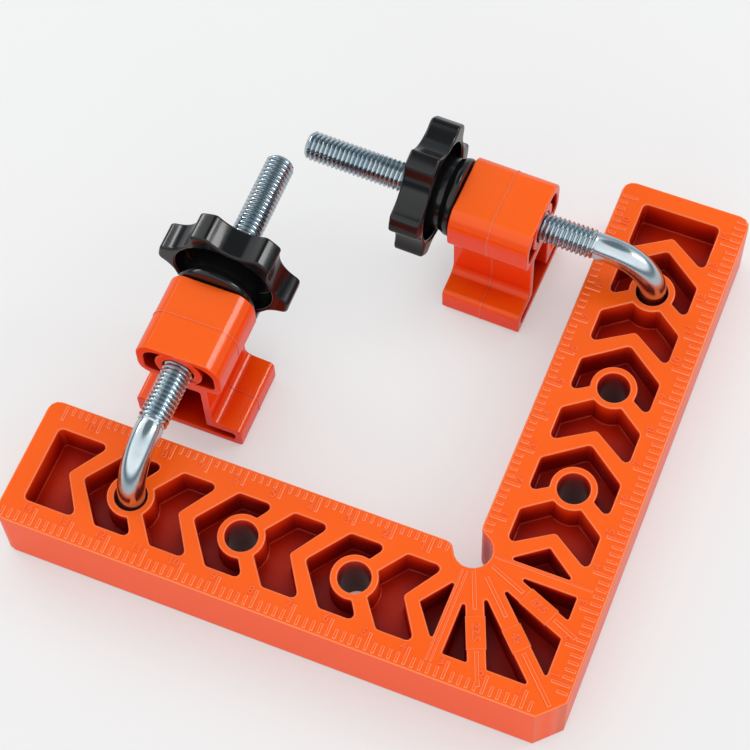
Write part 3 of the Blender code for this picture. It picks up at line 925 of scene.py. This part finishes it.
# The star knobs. Radii, and lengths along the rod from the leg's axis.
knobSet = {
    "lobes": 6,
    "tip": 0.01822,
    "valley": 0.0144,
    "scallop": 0.0105,
    "cornerSoft": 0.00035,
    "rimFront": 0.0589,
    "rimBack": 0.0671,
    "hubFace": 0.0535,
    "hub": 0.0098,
    "hubStart": 0.0561,
    "flange": 0.0106,
    "flangeEnd": 0.0553,
    "dish": 0.0134,
    "dishFloor": 0.0646,
    "backBoss": 0.0095,
    "backFace": 0.0681,
    "bore": 0.0043,
    "boreReach": 0.00005,
    "nutPocket": 0.0067,
    "nutFloor": 0.0608,
    "sides": 216,
    "rounding": (0.0007, 3, 38),
    "smoothAngle": 35,
    "turn": {"left": 48, "right": 43.5},
}


def roundRing(settings, radius, angle):
    return radius


def starRing(settings, tip, angle):
    # Flat lobes left by scallops, with softened corners.
    step = 2 * math.pi / settings["lobes"]
    off = abs((angle + step / 2) % step - step / 2) - step / 2
    reach = settings["valley"] + settings["scallop"]
    inside = settings["scallop"] ** 2 - (reach * math.sin(off)) ** 2
    radius = tip * 2
    if inside > 0:
        radius = reach * math.cos(off) - math.sqrt(inside)
    soft = settings["cornerSoft"]
    return -soft * math.log(math.exp(-radius / soft) + math.exp(-tip / soft))


def hexRing(settings, flat, angle):
    step = math.pi / 3
    return flat / math.cos(angle % step - step / 2)


def makeKnob(settings, side):
    # A ring of points drawn from the hub's face round the whole section and back to it.
    turn = math.radians(settings["turn"][side])
    section = [
        (roundRing, "bore", "hubFace"), (roundRing, "flange", "hubFace"),
        (roundRing, "flange", "flangeEnd"), (roundRing, "hub", "hubStart"),
        (roundRing, "hub", "dishFloor"), (roundRing, "dish", "dishFloor"),
        (roundRing, "dish", "rimFront"), (starRing, "tip", "rimFront"),
        (starRing, "tip", "rimBack"), (roundRing, "backBoss", "rimBack"),
        (roundRing, "backBoss", "backFace"), (hexRing, "nutPocket", "backFace"),
        (hexRing, "nutPocket", "nutFloor"), (roundRing, "bore", "nutFloor"),
    ]
    bpy.ops.mesh.primitive_circle_add(vertices=settings["sides"], radius=settings["bore"],
                                      fill_type="NOTHING")
    knob = bpy.context.active_object
    openMesh(knob, "EDGE", "SELECT")
    for index, (ring, size, along) in enumerate(section):
        if index:
            bpy.ops.mesh.extrude_region_move()
        mesh = bmesh.from_edit_mesh(knob.data)
        for vert in mesh.verts:
            if vert.select:
                # The first ring still lies flat.
                angle = math.atan2(vert.co.z if index else vert.co.y, vert.co.x)
                reach = ring(settings, settings[size], angle - turn)
                vert.co = (reach * math.cos(angle), settings[along], reach * math.sin(angle))
        bmesh.update_edit_mesh(knob.data)

    def onBore(edge):
        middle = middleOf(edge)
        return abs(math.hypot(middle.x, middle.z) - settings["bore"]) < settings["boreReach"]

    selectWhere(knob, "edges", onBore)
    bpy.ops.mesh.bridge_edge_loops()
    closeMesh()
    faceOut(knob)
    roundEdges(knob, *settings["rounding"])
    for vertex in knob.data.vertices:
        vertex.co.z += clampSet["rodHeight"]
    smoothOff(knob, settings["smoothAngle"])
    return knob


# The nuts in the knobs
nutSet = {
    "flats": 0.013,
    "front": 0.0611,
    "back": 0.0676,
    "bore": 0.00412,
    "borePast": 0.001,
    "cornerShare": 1.12,
    "cornerPast": 0.0001,
    "cornerRounding": (0.0009, 1, 50),
    "rounding": (0.00015, 1, 30),
    "smoothAngle": 30,
}


def makeNut(settings, turn):
    # A six-sided bar with its corners turned off at both ends.
    half, front, back = settings["flats"] / 2, settings["front"], settings["back"]
    bpy.ops.mesh.primitive_cylinder_add(vertices=6, radius=half / math.cos(math.pi / 6), depth=back - front)
    nut = bpy.context.active_object
    nut.matrix_world = (Matrix.Translation((0, (front + back) / 2, clampSet["rodHeight"]))
                        @ Matrix.Rotation(-math.radians(turn), 4, "Y") @ Matrix.Rotation(math.pi / 2, 4, "X"))
    setDown(nut)
    turned = rodAlong(half * settings["cornerShare"], front - settings["cornerPast"],
                      back + settings["cornerPast"])
    roundEdges(turned, *settings["cornerRounding"])
    cutWith(nut, turned, "INTERSECT")
    cutWith(nut, rodAlong(settings["bore"], front - settings["borePast"], back + settings["borePast"]))
    roundEdges(nut, *settings["rounding"])
    smoothOff(nut, settings["smoothAngle"])
    return nut


def makeClamp(side):
    place = clampPlace(side)
    hook = joinUp(side + "Hook", [makeShank(hookSet, side), makeThread(hookSet, side)])
    smoothOff(hook, hookSet["smoothAngle"], even=False)
    block = joinUp(side + "Block", makeBlock(blockSet))
    knob = joinUp(side + "Knob", [makeKnob(knobSet, side)])
    nut = joinUp(side + "Nut", [makeNut(nutSet, knobSet["turn"][side])])
    for piece in (hook, block, knob, nut):
        setDown(piece, place)
    dress(hook, hookFinish, side + "_hook", "zinc_plate", side + "_hook_bolt")
    dress(block, blockFinish, side + "_jaw", "block_plastic", side + "_clamp_block")
    dress(knob, knobFinish, side + "_knob", "knob_plastic", side + "_star_knob")
    dress(nut, nutFinish, side + "_knob", "nut_steel", side + "_knob_nut")
    print("the", side, "clamp is made")


for clampSide in ("left", "right"):
    makeClamp(clampSide)


# Studio
floorSet = {
    "size": 4.0,
    "drop": 0.0004,
    "finish": {"Base Color": (0.875, 0.89, 0.892, 1), "Roughness": 0.9, "Specular IOR Level": 0.1},
    "seen": 0.86,
    "mirrored": 0.473,
    "share": 0.62,
    "shadowReach": 0.03,
    "shadowSamples": 8,
    "shadowShare": 0.5,
}


def makeFloor(settings):
    bpy.ops.mesh.primitive_plane_add(size=settings["size"], location=(0, 0, -settings["drop"]))
    floor = bpy.context.active_object
    floor.name = "studioFloor"
    material, tree, shader = startMaterial("paleFloor")
    for name, value in settings["finish"].items():
        shader.inputs[name].default_value = value
    # What the eye sees is lifted to an even pale ground, and less so where the object closes it in, which
    # paints a soft shadow round the object.
    path = addNode(tree, "ShaderNodeLightPath")
    eye, gloss = path.outputs["Is Camera Ray"], path.outputs["Is Glossy Ray"]
    around = addNode(tree, "ShaderNodeAmbientOcclusion", samples=settings["shadowSamples"],
                     Distance=settings["shadowReach"])
    openness = mathOn(tree, "MULTIPLY_ADD", around.outputs["AO"], settings["shadowShare"],
                      1 - settings["shadowShare"])
    share = mathOn(tree, "MULTIPLY", mathOn(tree, "MAXIMUM", eye, gloss), openness)
    share = mathOn(tree, "MULTIPLY", share, settings["share"])
    # Gloss sees a duller floor than the eye does.
    glow = mathOn(tree, "MULTIPLY_ADD", gloss, settings["mirrored"] - settings["seen"], settings["seen"])
    shown = addNode(tree, "ShaderNodeEmission", Strength=glow)
    mixShaders(tree, share, shader, shown, tree.nodes["Material Output"])
    floor.data.materials.append(material)


# A span is where a patch of the world starts and where it is full.
worldSet = {
    "light": 0.74,
    "backdrop": (0.87, 0.87, 0.87, 1),
    "belt": ((0.0, (0.13, 0.18, 0.21, 1)), (0.22, (0.13, 0.18, 0.21, 1)), (0.38, (1.15, 1.17, 1.18, 1)),
             (1.0, (0.9, 0.92, 0.93, 1))),
    "backColour": (0.38, 0.44, 0.48, 1),
    "backSpan": (0.62, 0.86),
    "darkWay": (0.05, 0.45, 0.89),
    "darkColour": (0.15, 0.19, 0.21, 1),
    "darkSpan": (0.86, 0.91),
}


def makeWorld(settings):
    world = bpy.data.worlds.new("studioWorld")
    bpy.context.scene.world = world
    world.use_nodes = True
    tree = world.node_tree
    light = tree.nodes["Background"]
    light.inputs["Color"].default_value = (1, 1, 1, 1)
    light.inputs["Strength"].default_value = settings["light"]
    # What metal and gloss see: a bright belt, greyer at the back, and a dark patch high up behind.
    where = addNode(tree, "ShaderNodeTexCoord").outputs["Generated"]
    split = addNode(tree, "ShaderNodeSeparateXYZ", Vector=where)
    belt = addNode(tree, "ShaderNodeValToRGB", Fac=split.outputs["Z"])
    stops = belt.color_ramp.elements
    for position, colour in settings["belt"][1:-1]:
        stops.new(position).color = colour
    stops[0].color = settings["belt"][0][1]
    stops[-1].color = settings["belt"][-1][1]
    dark = dotOf(tree, where, Vector(settings["darkWay"]).normalized())
    back = rampOn(tree, split.outputs["Y"], *settings["backSpan"])
    seen = mixColours(tree, back, belt.outputs["Color"], settings["backColour"])
    seen = mixColours(tree, rampOn(tree, dark, *settings["darkSpan"]), seen, settings["darkColour"])
    # The eye sees a plain backdrop, and all other light comes from the plain world.
    path = addNode(tree, "ShaderNodeLightPath")
    eye, gloss = path.outputs["Is Camera Ray"], path.outputs["Is Glossy Ray"]
    shown = addNode(tree, "ShaderNodeBackground", Color=mixColours(tree, eye, seen, settings["backdrop"]))
    either = mathOn(tree, "MAXIMUM", eye, gloss)
    direct = mathOn(tree, "MAXIMUM", either, path.outputs["Is Transmission Ray"])
    mixShaders(tree, direct, light, shown, tree.nodes["World Output"])


# For each lamp: its direction from the square, distance, size and power, and whether gloss shows it.
lampSet = {
    "overheadLamp": ((-0.3, 0.35, 0.85), 0.9, (0.8, 0.6), 1.4, False),
    "frontLamp": ((0.25, -0.88, 0.34), 1.0, (1.0, 0.4), 2.3, False),
    "leftLamp": ((-0.82, 0.42, 0.40), 0.9, (0.5, 0.1), 1.0, True),
    "rightLamp": ((0.70, 0.42, 0.60), 0.9, (0.16, 0.34), 1.2, True),
}


def makeLamp(name, way, reach, size, power, mirrored):
    place = Vector(way).normalized() * reach
    bpy.ops.object.light_add(type="AREA", location=place)
    lamp = bpy.context.active_object
    lamp.name = name
    lamp.rotation_euler = place.to_track_quat("Z", "Y").to_euler()
    lamp.visible_glossy = mirrored
    lamp.data.shape = "RECTANGLE"
    lamp.data.size, lamp.data.size_y = size
    lamp.data.energy = power


makeFloor(floorSet)
makeWorld(worldSet)
for lampName, lampValues in lampSet.items():
    makeLamp(lampName, *lampValues)
bpy.context.scene.view_settings.view_transform = "Standard"
print("the studio is lit")
